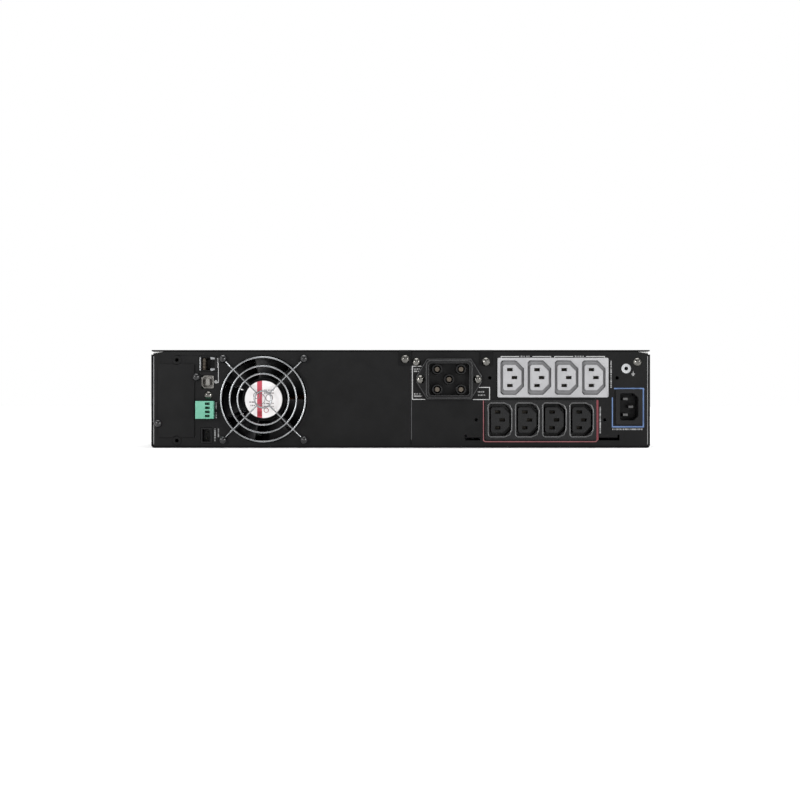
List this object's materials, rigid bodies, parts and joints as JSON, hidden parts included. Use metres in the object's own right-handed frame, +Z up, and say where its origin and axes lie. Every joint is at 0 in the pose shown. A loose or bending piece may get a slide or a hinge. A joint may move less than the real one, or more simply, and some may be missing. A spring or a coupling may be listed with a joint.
{
  "type": "rackmount ups",
  "caption": "Rackmount uninterruptible power supply: rear panel with guarded fan, ports, battery socket, outlets and inlet; front bezel with battery drawer and tilting display.",
  "frame": {"origin": "centre of the underside, midway between the rear-most and front-most points", "axes": "+Y from the rear connector panel to the front bezel, +X to the right seen from the rear, +Z up"},
  "size_m": [0.4826, 0.528, 0.0865],
  "materials": {
    "black_sheet": "matte",
    "zinc_sheet": "satin",
    "black_plastic": "matte",
    "grey_plastic": "satin",
    "dark_moulding": "satin",
    "key_plastic": "satin",
    "green_plastic": "satin",
    "white_plastic": "satin",
    "silver_steel": "satin",
    "black_steel": "satin",
    "wire_steel": "satin",
    "brass": "satin",
    "label": "matte",
    "lens": "gloss",
    "led": "gloss",
    "lead_red": "satin",
    "battery_case": "satin",
    "circuit_board": "satin",
    "heatsink": "satin",
    "core_iron": "satin",
    "winding": "gloss",
    "capacitor": "gloss"
  },
  "bodies": {
    "chassis": {"chassis_tray": "black_sheet", "top_cover": "black_sheet", "rear_panel": "black_sheet", "rear_power_panel": "black_sheet", "card_slot_cover": "black_sheet", "card_slot_screws": "black_steel", "fan_frame": "black_plastic", "fan_bearing": "brass", "fan_label": "label", "fan_guard": "wire_steel", "fan_screws": "black_steel", "network_jack": "black_plastic", "usb_shell": "silver_steel", "usb_tongue": "white_plastic", "terminal_header": "green_plastic", "detection_jack": "black_plastic", "detection_pins": "brass", "battery_socket": "black_plastic", "battery_socket_pins": "silver_steel", "battery_socket_screws": "silver_steel", "outlet_block_grey": "grey_plastic", "outlet_block_black": "black_plastic", "outlet_contacts": "brass", "inlet_housing": "black_plastic", "inlet_pins": "silver_steel", "ground_terminal": "silver_steel", "panel_screws": "silver_steel", "clinch_nuts": "silver_steel", "front_plate": "zinc_sheet", "front_bezel": "dark_moulding", "rack_ear_left": "black_sheet", "rack_ear_right": "black_sheet", "ear_screws": "silver_steel", "divider_wall": "zinc_sheet", "main_board": "circuit_board", "board_standoffs": "brass", "heatsinks": "heatsink", "power_transistors": "black_plastic", "transformer_core": "core_iron", "transformer_winding": "winding", "bulk_capacitors": "capacitor", "comm_board": "circuit_board", "status_leds": "led"},
    "fan_turning": {"fan_rotor": "black_plastic", "fan_shaft": "silver_steel"},
    "battery_drawer": {"battery_tray": "zinc_sheet", "battery_tray_handle": "black_steel", "batteries": "battery_case", "battery_terminals": "brass", "battery_leads": "lead_red"},
    "door": {"battery_door": "dark_moulding"},
    "display": {"display_housing": "dark_moulding", "display_lens": "lens", "display_hinge_pins": "silver_steel"},
    "up_key": {"key_up": "key_plastic"},
    "down_key": {"key_down": "key_plastic"},
    "enter_key": {"key_enter": "key_plastic"},
    "power_key": {"power_button": "key_plastic"},
    "pull_off_terminal": {"terminal_plug": "green_plastic", "terminal_clamp_screws": "silver_steel"}
  },
  "joints": [
    {"name": "fan_spin", "type": "hinge", "parent": "chassis", "child": "fan_turning", "pos_m": [-0.1213, -0.246, 0.04285], "axis": [0, 1, 0], "continuous": true},
    {"name": "battery_drawer_slide", "type": "slide", "parent": "chassis", "child": "battery_drawer", "axis": [0, 1, 0], "range_m": [0, 0.3]},
    {"name": "door_pull", "type": "slide", "parent": "chassis", "child": "door", "axis": [0, 1, 0], "range_m": [0, 0.375]},
    {"name": "display_tilt", "type": "hinge", "parent": "chassis", "child": "display", "pos_m": [-0.0925, 0.257, 0.06525], "axis": [1, 0, 0], "range_deg": [0, 45]},
    {"name": "up_key_press", "type": "slide", "parent": "display", "child": "up_key", "axis": [0, -1, 0], "range_m": [0, 0.0008], "stiffness_N_per_m": 400},
    {"name": "down_key_press", "type": "slide", "parent": "display", "child": "down_key", "axis": [0, -1, 0], "range_m": [0, 0.0008], "stiffness_N_per_m": 400},
    {"name": "enter_key_press", "type": "slide", "parent": "display", "child": "enter_key", "axis": [0, -1, 0], "range_m": [0, 0.0008], "stiffness_N_per_m": 400},
    {"name": "power_key_press", "type": "slide", "parent": "chassis", "child": "power_key", "axis": [0, -1, 0], "range_m": [0, 0.001], "stiffness_N_per_m": 400},
    {"name": "terminal_pull", "type": "slide", "parent": "chassis", "child": "pull_off_terminal", "axis": [0, -1, 0], "range_m": [0, 0.014]}
  ],
  "couplings": [
    {"joint": "door_pull", "follows": "battery_drawer_slide", "ratio": 1.25}
  ]
}
